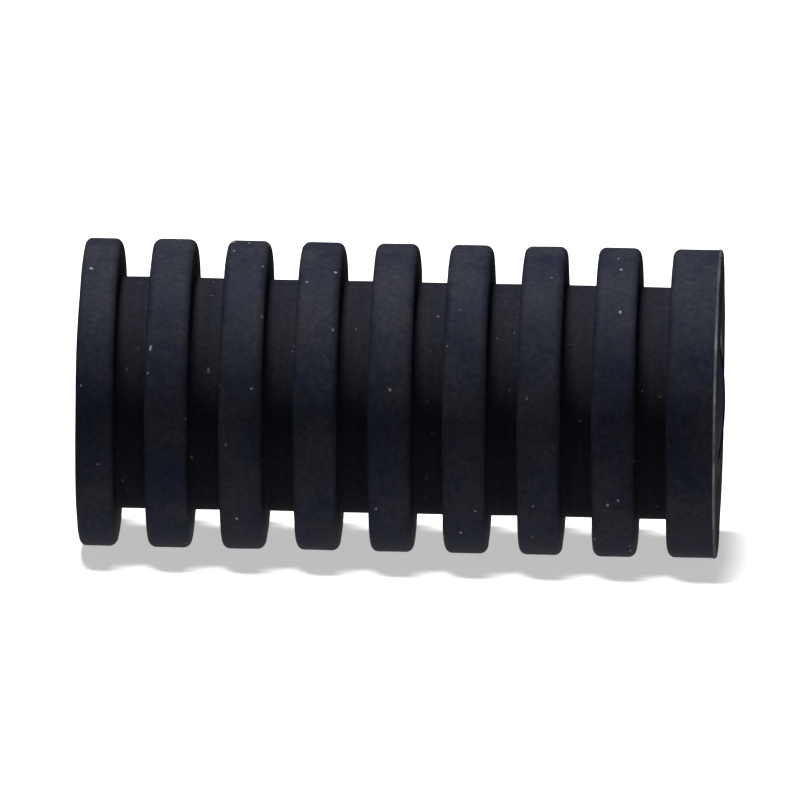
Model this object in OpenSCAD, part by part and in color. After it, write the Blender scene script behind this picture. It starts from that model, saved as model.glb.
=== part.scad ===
// Ribbed barrel dampener for a strung racket: a soft moulded sleeve around a denser core rod.
// Millimetres. The barrel's axis lies along X, Z is up, and the origin is the barrel's middle.

/* [Ribs] */
// Number of ribs, the two end ribs counted
rib_count = 9; // [4:1:14]
// Diameter over the ribs
rib_d = 12.1; // [11:0.1:16]
// Width of a rib between the two end ribs
rib_w = 1.67; // [1.2:0.01:3]
// Width of the rib at the left end
left_rib_w = 1.45; // [1.2:0.01:3]
// Width of the rib at the right end
right_rib_w = 1.94; // [1.2:0.01:3]
// Radius on the ribs' edges beside a groove
rib_round = 0.3; // [0.1:0.05:0.5]
// Radius on the outer edge of the left end face
left_end_round = 0.25; // [0.1:0.05:0.5]
// Radius on the outer edge of the right end face, which the mould leaves crisp
right_end_round = 0.08; // [0.04:0.02:0.5]

/* [String grooves] */
// Width of a groove, which grips a racket string
groove_w = 1.24; // [0.8:0.02:2]
// Diameter of the grooves' floors
groove_floor_d = 9.1; // [7.5:0.1:10]
// Radius in the corners at a groove's floor
groove_round = 0.12; // [0.04:0.02:0.3]

/* [Core rod] */
// Diameter of the core rod
core_d = 5.1; // [3:0.1:6]
// Gap all round between the core rod and the sleeve's bore
core_clearance = 0.02; // [0:0.01:0.1]
// Depth of the core rod's two edges below the barrel's end faces
core_recess = 0.05; // [0:0.01:0.5]
// Height of the dome on each end of the core rod
core_dome = 0.25; // [0.05:0.05:0.6]
// Radius on the core rod's two edges
core_round = 0.15; // [0.05:0.05:0.4]
// Width and depth of the chamfer at each mouth of the bore
mouth_chamfer = 0.35; // [0.1:0.05:0.6]

/* [Hidden] */
$fn = 128;

rubber_colour = [0.13, 0.135, 0.17];
core_colour = [0.07, 0.075, 0.14];

rib_r = rib_d / 2;
groove_floor_r = groove_floor_d / 2;
// The wall's outer radius under a rib, level with the top of the radius beside the rib's foot
rib_seat_r = groove_floor_r + groove_round;
core_r = core_d / 2;
bore_r = core_r + core_clearance;
pitch = rib_w + groove_w;
inner_ribs = rib_count - 2;
barrel_l = left_rib_w + groove_w + inner_ribs * pitch + right_rib_w;
left_end = -barrel_l / 2;
right_end = barrel_l / 2;

// Rib 0 is the left end rib, and the last one is the right end rib.
function is_last(i) = i == rib_count - 1;
function rib_width(i) = i == 0 ? left_rib_w : is_last(i) ? right_rib_w : rib_w;
function rib_start(i) = i == 0 ? left_end : left_end + left_rib_w + groove_w + (i - 1) * pitch;
function left_round(i) = i == 0 ? left_end_round : rib_round;
function right_round(i) = is_last(i) ? right_end_round : rib_round;

// The profiles below are half sections: X is the distance from the barrel's axis, Y runs along it.

// A band from the inner to the outer radius, with one radius on each of its outer corners.
module band(inner, outer, width, low_round, high_round) {
    translate([inner, 0]) square([outer - inner - max(low_round, high_round), width]);
    translate([inner, low_round]) square([outer - inner, width - low_round - high_round]);
    band_corner(inner, outer, low_round, low_round);
    band_corner(inner, outer, high_round, width - high_round);
}

module band_corner(inner, outer, round, height) {
    translate([outer - round, height]) circle(round);
    translate([inner, height - round]) square([outer - inner - round, 2 * round]);
}

// What fills the corner between a groove's floor and the rib beside it.
module groove_fillet() {
    difference() {
        square(groove_round);
        translate([groove_round, groove_round]) circle(groove_round);
    }
}

module rib_section(i) {
    translate([0, rib_start(i)])
        band(rib_seat_r, rib_r, rib_width(i), left_round(i), right_round(i));
}

// The wall under rib i.
module seat_section(i) {
    translate([bore_r, rib_start(i)]) square([rib_seat_r - bore_r, rib_width(i)]);
}

// The wall under groove i, which joins the seat of rib i to the next one.
module groove_section(i) {
    translate([bore_r, rib_start(i)])
        square([groove_floor_r - bore_r, rib_width(i) + groove_w + rib_width(i + 1)]);
    translate([groove_floor_r, rib_start(i) + rib_width(i)]) groove_fillet();
    translate([groove_floor_r, rib_start(i + 1)]) mirror([0, 1]) groove_fillet();
}

// The lead-in at one mouth of the bore. It points into the barrel along -Y.
module mouth_section() {
    polygon([[bore_r, 0], [bore_r + mouth_chamfer, 0], [bore_r, -mouth_chamfer]]);
}

// Turns a half section about the barrel's axis and lays that axis along X.
module turned() {
    rotate([0, 90, 0]) rotate_extrude() children();
}

// The sleeve is one soft moulding. Its wall and its ribs are modelled apart, and meet face to face at the
// ribs' seats.
module sleeve_wall() {
    color(rubber_colour) turned() difference() {
        union() {
            for (i = [0 : rib_count - 1]) seat_section(i);
            for (i = [0 : rib_count - 2]) groove_section(i);
        }
        translate([0, right_end]) mouth_section();
        translate([0, left_end]) mirror([0, 1]) mouth_section();
    }
}

module sleeve_ribs() {
    color(rubber_colour) for (i = [0 : rib_count - 1]) turned() rib_section(i);
}

// The dome on the upper end of the core rod, whose edge lies at the given height.
module dome_section(edge) {
    flat_r = core_r - core_round;
    dome_r = (flat_r * flat_r + core_dome * core_dome) / (2 * core_dome);
    intersection() {
        translate([0, edge + core_dome - dome_r]) circle(dome_r);
        translate([0, edge - core_round]) square([flat_r, core_dome + 2 * core_round]);
    }
}

module core_rod() {
    edge = barrel_l / 2 - core_recess;
    color(core_colour) turned() {
        translate([0, -edge]) band(0, core_r, 2 * edge, core_round, core_round);
        dome_section(edge);
        mirror([0, 1]) dome_section(edge);
    }
}

sleeve_wall();
sleeve_ribs();
core_rod();
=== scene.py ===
import functools
import math

import bpy
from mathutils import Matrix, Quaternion, Vector


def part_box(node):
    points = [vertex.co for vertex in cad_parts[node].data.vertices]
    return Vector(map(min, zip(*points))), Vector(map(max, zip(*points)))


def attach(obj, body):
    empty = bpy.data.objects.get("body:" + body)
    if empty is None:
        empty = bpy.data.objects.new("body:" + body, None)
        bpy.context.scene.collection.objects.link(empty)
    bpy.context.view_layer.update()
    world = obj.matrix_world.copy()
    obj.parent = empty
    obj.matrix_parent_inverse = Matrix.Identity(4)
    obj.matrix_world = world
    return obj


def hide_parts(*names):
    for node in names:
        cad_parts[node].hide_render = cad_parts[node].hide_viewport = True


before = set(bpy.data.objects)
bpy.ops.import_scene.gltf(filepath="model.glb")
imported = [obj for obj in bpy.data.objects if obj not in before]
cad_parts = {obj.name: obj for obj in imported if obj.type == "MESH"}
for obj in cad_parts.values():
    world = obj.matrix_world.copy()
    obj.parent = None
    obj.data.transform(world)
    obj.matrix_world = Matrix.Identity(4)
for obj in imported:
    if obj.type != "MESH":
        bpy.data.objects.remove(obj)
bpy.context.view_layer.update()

# ---------------------------------------------------------------- sizes, in metres

MM = 0.001

# The barrel, as the CAD model has it. Its axis lies along X, through the origin.
_, ribs_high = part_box("sleeve_ribs")
_, core_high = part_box("core_rod")
RIB_RADIUS = ribs_high.z
BARREL_END = ribs_high.x
CORE_RADIUS = core_high.z
CORE_TIP = core_high.x

RIB_COUNT = 9
RIB_WIDTH = 1.67 * MM
LEFT_RIB_WIDTH = 1.45 * MM
RIB_ROUND = 0.30 * MM
LEFT_END_ROUND = 0.25 * MM
RIGHT_END_ROUND = 0.08 * MM
# Where each rib's face is cut across, as shares of its width, so that it can wander from true.
RIB_CUTS = (0.35, 0.65)

GROOVE_WIDTH = 1.24 * MM
GROOVE_FLOOR_RADIUS = 4.55 * MM
GROOVE_ROUND = 0.12 * MM
PITCH = RIB_WIDTH + GROOVE_WIDTH
FIRST_GROOVE = -BARREL_END + LEFT_RIB_WIDTH
groove_starts = [FIRST_GROOVE + i * PITCH for i in range(RIB_COUNT - 1)]
# (left wall, right wall) of each groove, along X.
GROOVES = [(start, start + GROOVE_WIDTH) for start in groove_starts]
GROOVE_WALLS = [x for groove in GROOVES for x in groove]

# The bore, with a little room round the core rod, and its chamfered mouths.
CORE_CLEARANCE = 0.02 * MM
BORE_RADIUS = CORE_RADIUS + CORE_CLEARANCE
MOUTH_CHAMFER = 0.35 * MM
MOUTH_RADIUS = BORE_RADIUS + MOUTH_CHAMFER
MOUTH_ROUND = 0.08 * MM

# The core rod's two edges, and the low dome on each end. A dome is made of rings, each a share of the
# dome's radius wide.
CORE_ROUND = 0.15 * MM
CORE_DOME = 0.25 * MM
DOME_RINGS = 8
DOME_RING_SHARE = 0.12

# A thin bead of flash that the mould leaves on the right rim. A pale line along it is partly rubbed wear
# and partly a painted highlight where the edge catches the light. Its middle lies this far in from the
# end face.
BEAD_WIDTH = 0.10 * MM
BEAD_HEIGHT = 0.03 * MM
WORN_AND_HIGHLIT_LINE = 0.06 * MM
# The ridge along the top and the bottom, where the two halves of the mould met.
PARTING_HEIGHT = 0.03 * MM
# How far the soft rubber's faces wander from true, and over what length.
UNEVENNESS = 0.06 * MM
UNEVEN_LENGTH = 4.0 * MM

# How many flat sides make up a round one, and the angle up to which the faces beside an edge shade as one.
SLEEVE_SIDES = 192
CORE_SIDES = 96
SMOOTH_UP_TO = math.radians(40)
# How exactly an edge lies where it is looked for, and how exactly after the insets at the bore's mouths.
SLACK = 0.01 * MM
INSET_SLACK = 0.03 * MM
# The points of the sleeve's outside are farther than this from the axis, and those of its bore are nearer.
OUTSIDE = 0.9 * GROOVE_FLOOR_RADIUS

# ---------------------------------------------------------------- small helpers


def linear(code):
    """An sRGB hex colour as the linear RGBA that a shader socket takes."""
    parts = [int(code[i:i + 2], 16) / 255 for i in (1, 3, 5)]
    return [c / 12.92 if c <= 0.04045 else ((c + 0.055) / 1.055) ** 2.4 for c in parts] + [1.0]


def set_inputs(owner, node, **links):
    """Sets inputs of a node of owner, a material or a world. Each link is a value, or another node's output,
    for an input: Scale=2 names the input, and _0=2 counts to it."""
    for name, value in links.items():
        socket = node.inputs[int(name[1:]) if name[1:].isdigit() else name.replace("_", " ")]
        if isinstance(value, bpy.types.NodeSocket):
            owner.node_tree.links.new(value, socket)
        else:
            socket.default_value = value


def add_node(owner, kind, settings=None, **links):
    """Adds a node. settings sets its properties, and links its inputs, as in set_inputs."""
    node = owner.node_tree.nodes.new(kind)
    for name, value in (settings or {}).items():
        setattr(node, name, value)
    set_inputs(owner, node, **links)
    return node


def take_up(piece):
    """Selects this piece alone, and makes it the active one."""
    bpy.ops.object.select_all(action="DESELECT")
    piece.select_set(True)
    bpy.context.view_layer.objects.active = piece


def turned_blank(name, radius, length, sides):
    """A plain cylinder along the barrel's axis, in edit mode. Its object stays unturned at the origin."""
    bpy.ops.mesh.primitive_cylinder_add(
        vertices=sides, radius=radius, depth=length, rotation=(0, math.pi / 2, 0))
    blank = bpy.context.object
    blank.name = blank.data.name = name
    take_up(blank)
    bpy.ops.object.transform_apply(location=True, rotation=True, scale=True)
    bpy.ops.object.mode_set(mode="EDIT")
    return blank


def pick(piece, kind, test):
    """In edit mode, selects only the faces or edges for which test says so."""
    bpy.ops.mesh.select_mode(type=kind)
    bpy.ops.mesh.select_all(action="DESELECT")
    bpy.ops.object.mode_set(mode="OBJECT")
    mesh = piece.data
    for item in mesh.polygons if kind == "FACE" else mesh.edges:
        item.select = test(mesh, item)
    bpy.ops.object.mode_set(mode="EDIT")
    bpy.ops.mesh.select_mode(type=kind)


def face_outwards():
    """In edit mode, turns all faces to look outwards."""
    bpy.ops.mesh.select_all(action="SELECT")
    bpy.ops.mesh.normals_make_consistent(inside=False)


def from_axis(point):
    return math.hypot(point.y, point.z)


def ring_edges(places, radius, slack=SLACK):
    """A test for the edges of the rings at those places along the axis, at that distance from it."""
    def on_a_ring(mesh, edge):
        ends = [mesh.vertices[v].co for v in edge.vertices]
        return any(
            all(abs(p.x - x) < slack and abs(from_axis(p) - radius) < slack for p in ends)
            for x in places)
    return on_a_ring


def end_cap(side, reach):
    """A test for the flat face at that distance from the middle: side is -1 at the left, 1 at the right."""
    def on_cap(mesh, face):
        return face.normal.x * side > 0.999 and face.center.x * side > 0.999 * reach
    return on_cap


def is_outside(mesh, edge):
    return all(from_axis(mesh.vertices[v].co) > OUTSIDE for v in edge.vertices)


# ---------------------------------------------------------------- the ribbed sleeve


def make_barrel():
    """A cylinder, cut at every groove wall, across each rib's face, and beside the bead on the right rim."""
    barrel = turned_blank("sleeve_moulding", RIB_RADIUS, 2 * BARREL_END, SLEEVE_SIDES)
    ribs = zip([-BARREL_END] + GROOVE_WALLS[1::2], GROOVE_WALLS[0::2] + [BARREL_END])
    across = [low + share * (high - low) for low, high in ribs for share in RIB_CUTS]
    beside_bead = BARREL_END - RIGHT_END_ROUND - BEAD_WIDTH
    for place in sorted(GROOVE_WALLS + across + [beside_bead]):
        bpy.ops.mesh.select_all(action="SELECT")
        bpy.ops.mesh.bisect(plane_co=(place, 0, 0), plane_no=(1, 0, 0))
    return barrel


def sink_grooves(barrel):
    def in_groove(mesh, face):
        return abs(face.normal.x) < 0.5 and any(low < face.center.x < high for low, high in GROOVES)

    pick(barrel, "FACE", in_groove)
    bpy.ops.mesh.extrude_region_move()
    share = GROOVE_FLOOR_RADIUS / RIB_RADIUS
    bpy.ops.transform.resize(value=(1, share, share), center_override=(0, 0, 0))


def open_bore(barrel):
    """Insets each end face in two steps to the bore's mouth, steps it in at the chamfer, and joins the two
    holes."""
    for side in (-1, 1):
        pick(barrel, "FACE", end_cap(side, BARREL_END))
        for _ in range(2):
            bpy.ops.mesh.inset(thickness=(RIB_RADIUS - MOUTH_RADIUS) / 2, depth=0)
        bpy.ops.mesh.inset(thickness=MOUTH_CHAMFER, depth=-MOUTH_CHAMFER)
        bpy.ops.mesh.delete(type="ONLY_FACE")
    chamfer_ends = [BARREL_END - MOUTH_CHAMFER, -BARREL_END + MOUTH_CHAMFER]
    pick(barrel, "EDGE", ring_edges(chamfer_ends, BORE_RADIUS, INSET_SLACK))
    bpy.ops.mesh.bridge_edge_loops()


def round_edges(barrel):
    for places, radius, size, steps in (
        (GROOVE_WALLS, RIB_RADIUS, RIB_ROUND, 7),
        ([-BARREL_END], RIB_RADIUS, LEFT_END_ROUND, 6),
        ([BARREL_END], RIB_RADIUS, RIGHT_END_ROUND, 5),
        (GROOVE_WALLS, GROOVE_FLOOR_RADIUS, GROOVE_ROUND, 4),
        ([-BARREL_END, BARREL_END], MOUTH_RADIUS, MOUTH_ROUND, 3),
    ):
        pick(barrel, "EDGE", ring_edges(places, radius))
        bpy.ops.mesh.bevel(offset=size, segments=steps, profile=0.5, affect="EDGES")


def raise_mould_marks(barrel):
    """Lifts the bead of flash on the right rim, and the parting ridge along the top and the bottom."""
    pick(barrel, "EDGE", ring_edges([BARREL_END - RIGHT_END_ROUND], RIB_RADIUS))
    share = 1 + BEAD_HEIGHT / RIB_RADIUS
    bpy.ops.transform.resize(value=(1, share, share), center_override=(0, 0, 0))

    def on_parting(mesh, edge):
        at_middle = all(abs(mesh.vertices[v].co.y) < SLACK for v in edge.vertices)
        return at_middle and is_outside(mesh, edge)

    pick(barrel, "EDGE", on_parting)
    bpy.ops.transform.resize(value=(1, 1, 1 + PARTING_HEIGHT / RIB_RADIUS), center_override=(0, 0, 0))


def make_uneven(barrel):
    """Lets the outside wander a little, as soft rubber does out of the mould. The bore stays true."""
    pick(barrel, "EDGE", is_outside)
    bpy.ops.object.vertex_group_assign_new()
    group = barrel.vertex_groups[-1]
    group.name = "outside"
    bpy.ops.object.mode_set(mode="OBJECT")
    swell = bpy.data.textures.new("rubber_swell", "CLOUDS")
    swell.noise_scale = UNEVEN_LENGTH
    swell.noise_depth = 2
    wander = barrel.modifiers.new("wander", "DISPLACE")
    wander.texture = swell
    wander.texture_coords = "LOCAL"
    wander.vertex_group = group.name
    wander.strength = UNEVENNESS
    wander.mid_level = 0.5
    take_up(barrel)
    bpy.ops.object.modifier_apply(modifier=wander.name)
    barrel.vertex_groups.clear()


def make_sleeve():
    barrel = make_barrel()
    sink_grooves(barrel)
    open_bore(barrel)
    round_edges(barrel)
    raise_mould_marks(barrel)
    face_outwards()
    make_uneven(barrel)
    bpy.ops.object.shade_smooth_by_angle(angle=SMOOTH_UP_TO)
    return barrel


# ---------------------------------------------------------------- the core rod


def make_core():
    """A rod with rounded edges. Each end rises to a low dome in rings, and closes at its tip."""
    edge = CORE_TIP - CORE_DOME
    rod = turned_blank("core_plug", CORE_RADIUS, 2 * edge, CORE_SIDES)
    pick(rod, "EDGE", ring_edges([-edge, edge], CORE_RADIUS))
    bpy.ops.mesh.bevel(offset=CORE_ROUND, segments=5, profile=0.5, affect="EDGES")

    dome_rim = CORE_RADIUS - CORE_ROUND
    sphere = (dome_rim ** 2 + CORE_DOME ** 2) / (2 * CORE_DOME)
    step = DOME_RING_SHARE * dome_rim
    for side in (-1, 1):
        pick(rod, "FACE", end_cap(side, edge))
        for i in range(DOME_RINGS):
            outer = dome_rim - i * step
            inner = outer - step
            rise = math.sqrt(sphere ** 2 - inner ** 2) - math.sqrt(sphere ** 2 - outer ** 2)
            bpy.ops.mesh.inset(thickness=step, depth=rise)
        bpy.ops.mesh.poke()
    face_outwards()
    bpy.ops.object.mode_set(mode="OBJECT")
    bpy.ops.object.shade_smooth_by_angle(angle=SMOOTH_UP_TO)
    return rod


# ---------------------------------------------------------------- materials

# Settings that many nodes share.
SMOOTH = {"interpolation_type": "SMOOTHSTEP"}
RGB = {"data_type": "RGBA"}
MULTIPLY = {"operation": "MULTIPLY"}
MULTIPLY_ADD = {"operation": "MULTIPLY_ADD"}
MAXIMUM = {"operation": "MAXIMUM"}
ABSOLUTE = {"operation": "ABSOLUTE"}

RUBBER_IOR = 1.5


def new_material(name):
    material = bpy.data.materials.new(name)
    material.use_nodes = True
    return material, material.node_tree.nodes["Principled BSDF"]


def axis_distance(add, place):
    """How far each point is from the barrel's axis."""
    section = add("ShaderNodeVectorMath", MULTIPLY, _0=place, _1=(0, 1, 1)).outputs[0]
    return add("ShaderNodeVectorMath", {"operation": "LENGTH"}, _0=section).outputs["Value"]


def worn_and_highlit_bead(add, along, height, rubbed):
    """How pale the bead on the right rim is: a broken line 0.09 mm wide, of rubbed wear and painted
    highlight, weakest at the top and bottom.
    """
    from_line = add(
        "ShaderNodeMath", {"operation": "SUBTRACT"}, _0=along, _1=BARREL_END - WORN_AND_HIGHLIT_LINE).outputs[0]
    beside = add("ShaderNodeMath", ABSOLUTE, _0=from_line).outputs[0]
    line = add(
        "ShaderNodeMapRange", SMOOTH, Value=beside, From_Min=0.07 * MM, From_Max=0.02 * MM).outputs[0]
    # Painted highlight: the line fades towards the top and bottom, where the edge catches less light.
    off_middle = add("ShaderNodeMath", ABSOLUTE, _0=height).outputs[0]
    sides = add(
        "ShaderNodeMapRange", SMOOTH, Value=off_middle,
        From_Min=5.2 * MM, From_Max=1.8 * MM, To_Min=0.3).outputs[0]
    line_sides = add("ShaderNodeMath", MULTIPLY, _0=line, _1=sides).outputs[0]
    return add("ShaderNodeMath", MULTIPLY, _0=line_sides, _1=rubbed).outputs[0]


def end_face_dust(add, along, radius, mottle, rubbed):
    """(where the end faces are, how much dust shows on them): a little in patches, and much in the chamfer
    round the bore's mouth."""
    beyond = add("ShaderNodeMath", ABSOLUTE, _0=along).outputs[0]
    at_end = add(
        "ShaderNodeMapRange", Value=beyond,
        From_Min=BARREL_END - 0.5 * MM, From_Max=BARREL_END - 0.3 * MM).outputs[0]
    inside = add(
        "ShaderNodeMapRange", Value=radius,
        From_Min=RIB_RADIUS - 0.15 * MM, From_Max=RIB_RADIUS - 0.3 * MM).outputs[0]
    on_face = add("ShaderNodeMath", MULTIPLY, _0=at_end, _1=inside).outputs[0]
    patches = add(
        "ShaderNodeMapRange", Value=mottle,
        From_Min=0.4, From_Max=0.7, To_Min=0.04, To_Max=0.3).outputs[0]
    at_mouth = add(
        "ShaderNodeMapRange", SMOOTH, Value=radius,
        From_Min=MOUTH_RADIUS + 0.25 * MM, From_Max=MOUTH_RADIUS - 0.05 * MM).outputs[0]
    mouth_dust = add("ShaderNodeMath", MULTIPLY, _0=at_mouth, _1=rubbed).outputs[0]
    dust = add("ShaderNodeMath", MAXIMUM, _0=patches, _1=mouth_dust).outputs[0]
    return on_face, add("ShaderNodeMath", MULTIPLY, _0=dust, _1=on_face).outputs[0]


def lint_and_pits(add, place, on_rib):
    """(how much shows, its colour), of specks and fibres of lint, and of pits painted dark as shade."""
    # Specks, where the surface cuts the middle of a 0.8 mm cell. They are ragged, and each cell's own
    # random colour says how strongly it shows, whether it is lint or a pit painted dark as shade, and how
    # large it is.
    ragged = add("ShaderNodeTexNoise", Vector=place, Scale=1 / (0.12 * MM), Detail=2).outputs[0]
    cells = add("ShaderNodeTexVoronoi", Vector=place, Scale=1 / (0.8 * MM), Randomness=1)
    chance = add("ShaderNodeSeparateColor", Color=cells.outputs["Color"])
    how_strong, which_kind, how_large = chance.outputs[:3]
    rough_edge = add(
        "ShaderNodeMath", MULTIPLY_ADD, _0=ragged, _1=0.16, _2=cells.outputs["Distance"]).outputs[0]
    from_speck = add("ShaderNodeMath", MULTIPLY_ADD, _0=how_large, _1=-0.06, _2=rough_edge).outputs[0]
    speck = add("ShaderNodeMapRange", SMOOTH, Value=from_speck, From_Min=0.14, From_Max=0.1).outputs[0]
    speck_show = add(
        "ShaderNodeMapRange", Value=how_strong, From_Min=0.2, From_Max=1.0, To_Max=0.8).outputs[0]
    speck_seen = add("ShaderNodeMath", MULTIPLY, _0=speck, _1=speck_show).outputs[0]

    # Fibres, 0.35 mm long: the same, in cells drawn out along a slant.
    slanted = add(
        "ShaderNodeMapping", Vector=place, Rotation=(0.7, 0.4, 0.2), Scale=(1, 1, 0.35)).outputs[0]
    strands = add("ShaderNodeTexVoronoi", Vector=slanted, Scale=1 / (1.0 * MM), Randomness=1)
    fibre = add(
        "ShaderNodeMapRange", SMOOTH, Value=strands.outputs["Distance"],
        From_Min=0.07, From_Max=0.045, To_Max=0.6).outputs[0]

    # Most of it clings to the ribs, and little gets down into the grooves.
    either = add("ShaderNodeMath", MAXIMUM, _0=speck_seen, _1=fibre).outputs[0]
    clings = add("ShaderNodeMapRange", Value=on_rib, To_Min=0.3).outputs[0]
    lint = add("ShaderNodeMath", MULTIPLY, _0=either, _1=clings).outputs[0]
    # A pit is only painted: a near-black speck stands for the shade inside it.
    is_shaded_pit = add("ShaderNodeMath", {"operation": "LESS_THAN"}, _0=which_kind, _1=0.15).outputs[0]
    colour = add(
        "ShaderNodeMix", RGB, _0=is_shaded_pit, _6=linear("#b4b1a8"), _7=linear("#0c0d12")).outputs[2]
    return lint, colour


def moulded_rubber():
    """Carbon-filled thermoplastic rubber, moulded: a matt blue-black that scatters its shine widely.

    The eye sees a blotchy mottle, a fine grain from the mould, streaks round groove floors that are partly
    painted shade, a pale line on the right rim of wear and painted highlight, dusty end faces, and a few
    specks of lint and pits, the pits painted dark as shade.
    """
    material, surface = new_material("moulded_rubber")
    add = functools.partial(add_node, material)
    place = add("ShaderNodeTexCoord").outputs["Object"]
    split = add("ShaderNodeSeparateXYZ", Vector=place)
    along, height = split.outputs["X"], split.outputs["Z"]
    radius = axis_distance(add, place)
    on_rib = add(
        "ShaderNodeMapRange", SMOOTH, Value=radius,
        From_Min=GROOVE_FLOOR_RADIUS + 0.1 * MM, From_Max=RIB_RADIUS - 0.4 * MM).outputs[0]

    # Blotches 2.5 mm across and finer, bluer and greyer, where carbon and oil lie unevenly.
    mottle = add(
        "ShaderNodeTexNoise", Vector=place, Scale=1 / (2.5 * MM), Detail=6, Roughness=0.65).outputs[0]
    blotch = add("ShaderNodeMapRange", Value=mottle, From_Min=0.38, From_Max=0.62).outputs[0]
    rib_colour = add(
        "ShaderNodeMix", RGB, _0=blotch, _6=linear("#242736"), _7=linear("#32333b")).outputs[2]

    # Streaks that run round the groove floors, 0.35 mm apart, where the mould's ridges were turned.
    drawn = add("ShaderNodeVectorMath", MULTIPLY, _0=place, _1=(1, 0.06, 0.06)).outputs[0]
    streaks = add("ShaderNodeTexNoise", Vector=drawn, Scale=1 / (0.35 * MM), Detail=3).outputs[0]
    # The groove floors are painted darker than the ribs: partly a greyer rubber, partly painted shade in the
    # recesses between the ribs.
    groove_colour_and_shade = add(
        "ShaderNodeMix", RGB, _0=streaks, _6=linear("#1b1c25"), _7=linear("#2a2b31")).outputs[2]
    plain = add("ShaderNodeMix", RGB, _0=on_rib, _6=groove_colour_and_shade, _7=rib_colour).outputs[2]

    # Grain of 0.2 mm, drawn coarser than the mould's real 0.05 mm so that it shows. It lightens and
    # darkens the rubber by about a tenth.
    grain = add("ShaderNodeTexNoise", Vector=place, Scale=1 / (0.2 * MM), Detail=3).outputs[0]
    tint = add("ShaderNodeMath", MULTIPLY_ADD, _0=grain, _1=1.1, _2=0.45).outputs[0]
    tinted = {"data_type": "RGBA", "blend_type": "MULTIPLY"}
    body = add("ShaderNodeMix", tinted, _0=1, _6=plain, _7=tint).outputs[2]

    # The bead on the right rim is pale here and there, over stretches of 0.9 mm and less: partly rubbed
    # wear, partly a painted highlight where the edge catches the light.
    wear = add("ShaderNodeTexNoise", Vector=place, Scale=1 / (0.9 * MM), Detail=4).outputs[0]
    rubbed = add(
        "ShaderNodeMapRange", Value=wear,
        From_Min=0.36, From_Max=0.62, To_Min=0.2, To_Max=0.8).outputs[0]
    pale = worn_and_highlit_bead(add, along, height, rubbed)
    worn_and_highlit = add("ShaderNodeMix", RGB, _0=pale, _6=body, _7=linear("#bfc2ca")).outputs[2]

    # Tan dust on the end faces, and lint over everything.
    on_face, dust = end_face_dust(add, along, radius, mottle, rubbed)
    faced = add("ShaderNodeMix", RGB, _0=dust, _6=worn_and_highlit, _7=linear("#979184")).outputs[2]
    lint, lint_colour = lint_and_pits(add, place, on_rib)
    finished = add("ShaderNodeMix", RGB, _0=lint, _6=faced, _7=lint_colour).outputs[2]

    # Satin in patches on the ribs, which strings and hands rub, and duller in the grooves. Dust takes the
    # sheen off the end faces.
    satin = add(
        "ShaderNodeMapRange", Value=mottle,
        From_Min=0.35, From_Max=0.65, To_Min=0.58, To_Max=0.7).outputs[0]
    roughness = add("ShaderNodeMix", _0=on_rib, _2=0.76, _3=satin).outputs[0]
    sheen = add("ShaderNodeMapRange", Value=on_face, To_Min=0.04, To_Max=0).outputs[0]

    fine = add("ShaderNodeBump", Strength=0.6, Distance=0.008 * MM, Height=grain).outputs[0]
    turned = add(
        "ShaderNodeBump", Strength=0.4, Distance=0.01 * MM, Height=streaks, Normal=fine).outputs[0]
    raised = add(
        "ShaderNodeBump", Strength=0.6, Distance=0.03 * MM, Height=lint, Normal=turned).outputs[0]
    set_inputs(
        material, surface, Base_Color=finished, Roughness=roughness, IOR=RUBBER_IOR,
        Specular_IOR_Level=sheen, Normal=raised)
    return material


def core_rubber():
    """A harder rubber, pressed in: navy-black and a little smoother than the sleeve.

    The eye sees faint rings from the tool that shaped its domed end, dust in the gap round it, and specks.
    """
    material, surface = new_material("pressed_core_rubber")
    add = functools.partial(add_node, material)
    place = add("ShaderNodeTexCoord").outputs["Object"]
    radius = axis_distance(add, place)
    mottle = add("ShaderNodeTexNoise", Vector=place, Scale=1 / (1.2 * MM), Detail=4).outputs[0]
    navy = add("ShaderNodeMix", RGB, _0=mottle, _6=linear("#161c38"), _7=linear("#222a4a")).outputs[2]
    gap = add(
        "ShaderNodeMapRange", SMOOTH, Value=radius,
        From_Min=CORE_RADIUS - 0.2 * MM, From_Max=CORE_RADIUS, To_Max=0.4).outputs[0]
    dusted = add("ShaderNodeMix", RGB, _0=gap, _6=navy, _7=linear("#7b776d")).outputs[2]
    cells = add("ShaderNodeTexVoronoi", Vector=place, Scale=1 / (0.8 * MM), Randomness=1).outputs[0]
    speck = add(
        "ShaderNodeMapRange", SMOOTH, Value=cells, From_Min=0.07, From_Max=0.04, To_Max=0.4).outputs[0]
    finished = add("ShaderNodeMix", RGB, _0=speck, _6=dusted, _7=linear("#a3a19b")).outputs[2]
    satin = add(
        "ShaderNodeMapRange", Value=mottle,
        From_Min=0.3, From_Max=0.7, To_Min=0.42, To_Max=0.54).outputs[0]
    # It shines seen from the end, and hardly at all from the side, where its fine rings break the sheen.
    aslant = add("ShaderNodeLayerWeight", Blend=0.5).outputs["Facing"]
    sheen = add(
        "ShaderNodeMapRange", Value=aslant,
        From_Min=0.5, From_Max=0.9, To_Min=0.2, To_Max=0).outputs[0]
    # Rings 0.18 mm apart, drawn wider than the real 0.05 mm so that they show.
    turns = add("ShaderNodeMath", MULTIPLY, _0=radius, _1=2 * math.pi / (0.18 * MM)).outputs[0]
    wave = add("ShaderNodeMath", {"operation": "SINE"}, _0=turns).outputs[0]
    ringed = add("ShaderNodeBump", Strength=0.3, Distance=0.004 * MM, Height=wave).outputs[0]
    set_inputs(
        material, surface, Base_Color=finished, Roughness=satin, IOR=RUBBER_IOR,
        Specular_IOR_Level=sheen, Normal=ringed)
    return material


# ---------------------------------------------------------------- the stage

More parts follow.
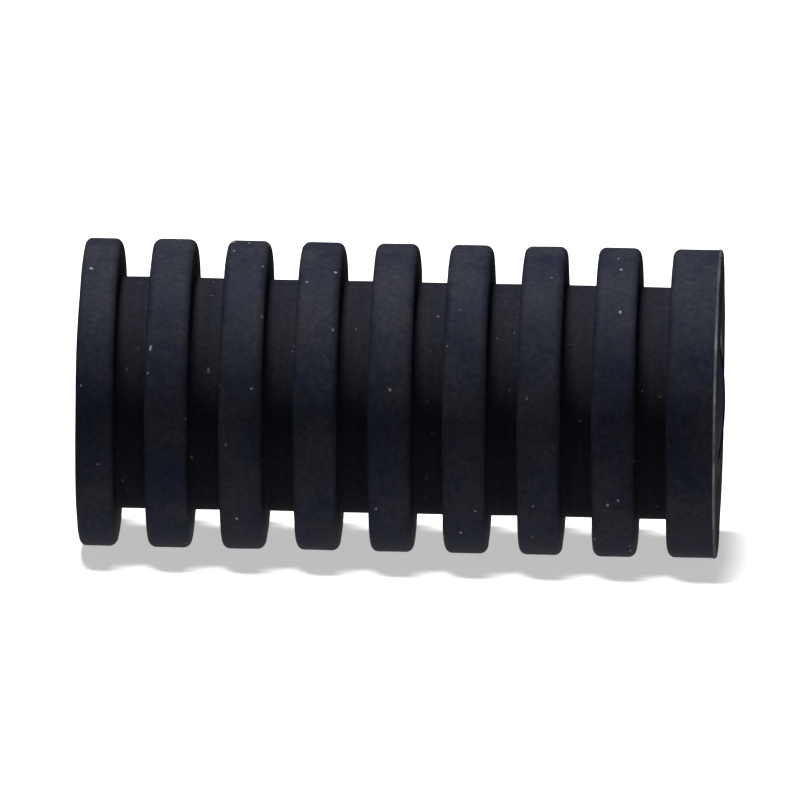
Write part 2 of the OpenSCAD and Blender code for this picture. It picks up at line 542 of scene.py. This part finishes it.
CAMERA_AZIMUTH = math.radians(2.33)
CAMERA_ELEVATION = math.radians(10)
CAMERA_ROLL = math.radians(0.75)
CAMERA_DISTANCE = 0.903
IMAGE_SIDE = 800
FOCAL_PIXELS = 23023
SENSOR_MM = 36
# Where the barrel's middle falls in the image.
MIDDLE_X, MIDDLE_Y = 401.6, 397.7

FLOOR_RADIUS = 0.45
# The pool of glow on the floor: how strong it is near its middle and far from it, and where it fades.
NEAR_GLOW, FAR_GLOW = 0.55, 0.2
FADE_START, FADE_END = 12 * MM, 40 * MM
ROOM_LIGHT = 0.03


def add_camera():
    back = Vector((
        math.sin(CAMERA_AZIMUTH) * math.cos(CAMERA_ELEVATION),
        -math.cos(CAMERA_AZIMUTH) * math.cos(CAMERA_ELEVATION),
        math.sin(CAMERA_ELEVATION)))
    turn = Quaternion(back, CAMERA_ROLL)
    right = turn @ Vector((math.cos(CAMERA_AZIMUTH), math.sin(CAMERA_AZIMUTH), 0))
    up = back.cross(right)
    metres_per_pixel = CAMERA_DISTANCE / FOCAL_PIXELS
    half = IMAGE_SIDE / 2
    aim = (right * (half - MIDDLE_X) + up * (MIDDLE_Y - half)) * metres_per_pixel
    data = bpy.data.cameras.new("camera")
    data.sensor_width = SENSOR_MM
    data.lens = FOCAL_PIXELS * SENSOR_MM / IMAGE_SIDE
    data.clip_start, data.clip_end = 0.01, 5
    camera = bpy.data.objects.new("camera", data)
    bpy.context.scene.collection.objects.link(camera)
    camera.location = aim + back * CAMERA_DISTANCE
    camera.rotation_euler = (turn @ back.to_track_quat("Z", "Y")).to_euler()
    bpy.context.scene.camera = camera


def add_lamp(name, place, width, watts):
    """A round lamp that faces the origin."""
    data = bpy.data.lights.new(name, "AREA")
    data.shape = "DISK"
    data.size = width
    data.energy = watts
    lamp = bpy.data.objects.new(name, data)
    bpy.context.scene.collection.objects.link(lamp)
    lamp.location = place
    lamp.rotation_euler = Vector(place).to_track_quat("Z", "Y").to_euler()


def add_floor():
    """A table with a pool of glow under the barrel. The camera sees it white, with the shadow on it."""
    bpy.ops.mesh.primitive_circle_add(
        vertices=64, radius=FLOOR_RADIUS, fill_type="NGON",
        location=(0, 0, -RIB_RADIUS - UNEVENNESS / 2))
    floor = bpy.context.object
    floor.name = "floor"
    material, surface = new_material("matt_pale_table")
    add = functools.partial(add_node, material)
    place = add("ShaderNodeTexCoord").outputs["Object"]
    distance = add("ShaderNodeVectorMath", {"operation": "LENGTH"}, _0=place).outputs["Value"]
    pool = add(
        "ShaderNodeMapRange", Value=distance,
        From_Min=FADE_START, From_Max=FADE_END, To_Min=NEAR_GLOW, To_Max=FAR_GLOW).outputs[0]
    set_inputs(
        material, surface, Base_Color=linear("#404040"), Roughness=0.9, Specular_IOR_Level=0.1,
        Emission_Color=linear("#ffffff"), Emission_Strength=pool)
    white = add("ShaderNodeBsdfDiffuse", Color=(1, 1, 1, 1)).outputs[0]
    glow = add("ShaderNodeEmission", Strength=0.5).outputs[0]
    seen = add("ShaderNodeAddShader", _0=white, _1=glow).outputs[0]
    to_camera = add("ShaderNodeLightPath").outputs["Is Camera Ray"]
    mix = add("ShaderNodeMixShader", _0=to_camera, _1=surface.outputs[0], _2=seen).outputs[0]
    set_inputs(material, material.node_tree.nodes["Material Output"], Surface=mix)
    floor.data.materials.append(material)


def add_world():
    """A dim white room all round, which the camera sees as plain white."""
    world = bpy.data.worlds.new("soft_room")
    world.use_nodes = True
    bpy.context.scene.world = world
    add = functools.partial(add_node, world)
    room = world.node_tree.nodes["Background"]
    set_inputs(world, room, Color=(1, 1, 1, 1), Strength=ROOM_LIGHT)
    white = add("ShaderNodeBackground", Color=(1, 1, 1, 1), Strength=1.0).outputs[0]
    to_camera = add("ShaderNodeLightPath").outputs["Is Camera Ray"]
    mix = add("ShaderNodeMixShader", _0=to_camera, _1=room.outputs[0], _2=white).outputs[0]
    set_inputs(world, world.node_tree.nodes["World Output"], Surface=mix)


# ---------------------------------------------------------------- putting it together

sleeve = make_sleeve()
sleeve.data.materials.append(moulded_rubber())
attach(sleeve, "root")
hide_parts("sleeve_wall", "sleeve_ribs")

core = make_core()
core.data.materials.append(core_rubber())
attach(core, "root")
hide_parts("core_rod")

add_floor()
add_world()
add_lamp("overhead", place=(-0.06, 0.01, 0.6), width=0.15, watts=4.7)
add_camera()
bpy.context.scene.view_settings.view_transform = "Standard"
